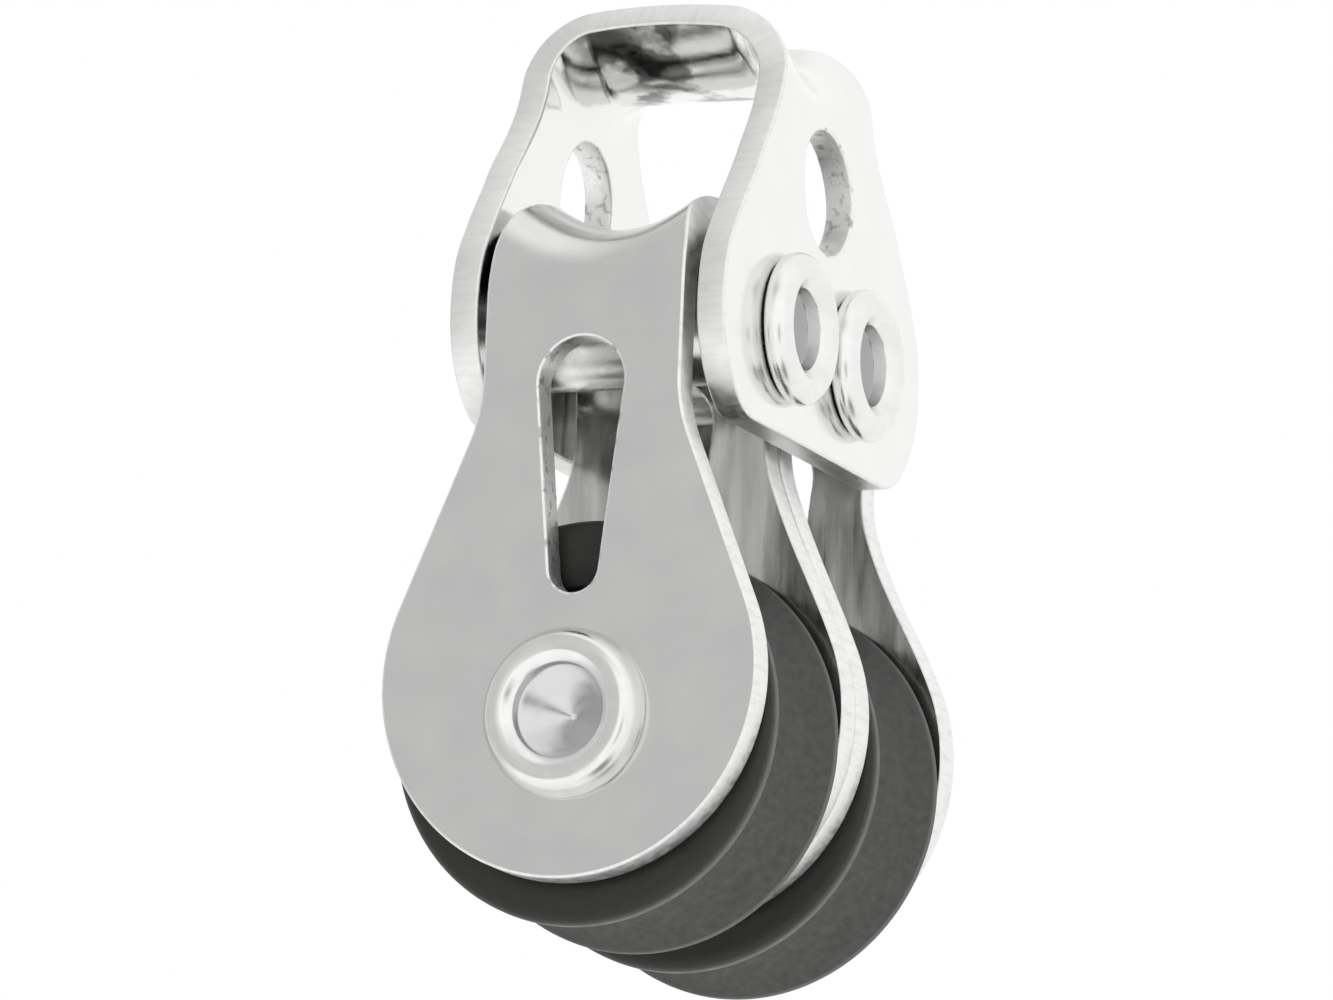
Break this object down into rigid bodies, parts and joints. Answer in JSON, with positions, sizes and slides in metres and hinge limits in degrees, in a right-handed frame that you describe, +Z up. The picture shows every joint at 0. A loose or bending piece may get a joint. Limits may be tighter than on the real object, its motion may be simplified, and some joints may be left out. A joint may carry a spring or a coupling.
{
  "type": "double sheave block",
  "caption": "Small double sheave block: side-by-side ball bearing sheaves in folded steel straps, hung from one bent head plate with a rope eye.",
  "frame": {"origin": "the point where a lashing or shackle bears on the underside of the head's bridge, midway between the two blocks", "axes": "+Z up along the load, the sheaves turn about Y, the head rivets lie along X, -Y is the front cheek"},
  "size_m": [0.0148, 0.0212, 0.0351],
  "materials": {
    "head_polished": "polished stainless steel sheet",
    "strap_satin": "satin stainless steel sheet with bright cut edges",
    "rivet_polished": "tumbled stainless steel",
    "axle_turned": "turned and rolled stainless steel",
    "bearing_steel": "polished bearing steel",
    "sheave_plastic": "black acetal with a fine moulded grain"
  },
  "bodies": {
    "block_frame": {"head_plate": "head_polished", "axle_pin": "axle_turned", "front_strap": "strap_satin", "front_head_rivet": "rivet_polished", "front_inner_race": "bearing_steel", "rear_strap": "strap_satin", "rear_head_rivet": "rivet_polished", "rear_inner_race": "bearing_steel"},
    "front_sheave": {"front_sheave": "sheave_plastic"},
    "front_ball_set": {"front_ball_01": "bearing_steel", "front_ball_02": "bearing_steel", "front_ball_03": "bearing_steel", "front_ball_04": "bearing_steel", "front_ball_05": "bearing_steel", "front_ball_06": "bearing_steel", "front_ball_07": "bearing_steel", "front_ball_08": "bearing_steel", "front_ball_09": "bearing_steel", "front_ball_10": "bearing_steel", "front_ball_11": "bearing_steel", "front_ball_12": "bearing_steel"},
    "rear_sheave": {"rear_sheave": "sheave_plastic"},
    "rear_ball_set": {"rear_ball_01": "bearing_steel", "rear_ball_02": "bearing_steel", "rear_ball_03": "bearing_steel", "rear_ball_04": "bearing_steel", "rear_ball_05": "bearing_steel", "rear_ball_06": "bearing_steel", "rear_ball_07": "bearing_steel", "rear_ball_08": "bearing_steel", "rear_ball_09": "bearing_steel", "rear_ball_10": "bearing_steel", "rear_ball_11": "bearing_steel", "rear_ball_12": "bearing_steel"}
  },
  "joints": [
    {"name": "front_sheave_spin", "type": "hinge", "parent": "block_frame", "child": "front_sheave", "pos_m": [0, -0.00479, -0.0248], "axis": [0, 1, 0], "continuous": true},
    {"name": "front_ball_orbit", "type": "hinge", "parent": "block_frame", "child": "front_ball_set", "pos_m": [0, -0.00479, -0.0248], "axis": [0, 1, 0], "continuous": true},
    {"name": "rear_sheave_spin", "type": "hinge", "parent": "block_frame", "child": "rear_sheave", "pos_m": [0, 0.00479, -0.0248], "axis": [0, 1, 0], "continuous": true},
    {"name": "rear_ball_orbit", "type": "hinge", "parent": "block_frame", "child": "rear_ball_set", "pos_m": [0, 0.00479, -0.0248], "axis": [0, 1, 0], "continuous": true}
  ],
  "couplings": [
    {"joint": "front_ball_orbit", "follows": "front_sheave_spin", "ratio": 0.622},
    {"joint": "rear_ball_orbit", "follows": "rear_sheave_spin", "ratio": 0.622}
  ]
}
